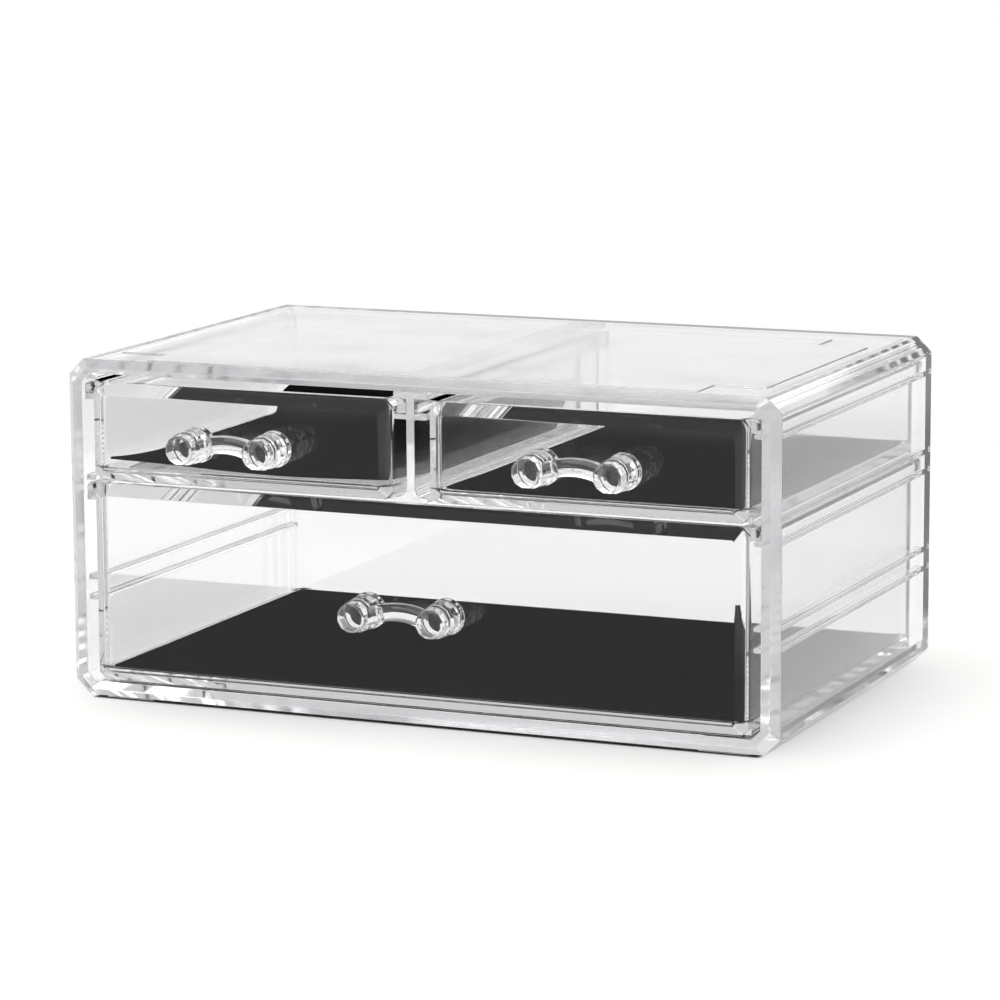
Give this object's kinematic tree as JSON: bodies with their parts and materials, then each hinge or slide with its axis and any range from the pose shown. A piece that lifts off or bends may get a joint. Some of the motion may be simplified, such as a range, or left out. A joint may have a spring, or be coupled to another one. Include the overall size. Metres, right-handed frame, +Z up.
{
  "type": "drawer organizer",
  "caption": "Clear moulded tabletop chest: small drawers side by side over a wide drawer, with clear arched pulls, hung on side runners, black liner mats inside.",
  "frame": {"origin": "centre of the footprint, pulls included, on the surface the feet stand on", "axes": "+X along the width, -Y towards the drawer fronts, +Z up"},
  "size_m": [0.24, 0.1668, 0.11],
  "materials": {
    "case_acrylic": "clear acrylic, polished",
    "drawer_acrylic": "clear acrylic, polished",
    "handle_acrylic": "clear acrylic, polished facets",
    "liner_mat": "matte black flocked mat"
  },
  "bodies": {
    "case": {"case": "case_acrylic", "divider": "case_acrylic"},
    "drawer_left": {"drawer_left": "drawer_acrylic", "handle_left": "handle_acrylic", "liner_left": "liner_mat"},
    "drawer_right": {"drawer_right": "drawer_acrylic", "handle_right": "handle_acrylic", "liner_right": "liner_mat"},
    "drawer_wide": {"drawer_wide": "drawer_acrylic", "handle_wide": "handle_acrylic", "liner_wide": "liner_mat"}
  },
  "joints": [
    {"name": "left_slide", "type": "slide", "parent": "case", "child": "drawer_left", "axis": [0, -1, 0], "range_m": [0, 0.115]},
    {"name": "right_slide", "type": "slide", "parent": "case", "child": "drawer_right", "axis": [0, -1, 0], "range_m": [0, 0.115]},
    {"name": "wide_slide", "type": "slide", "parent": "case", "child": "drawer_wide", "axis": [0, -1, 0], "range_m": [0, 0.115]}
  ]
}
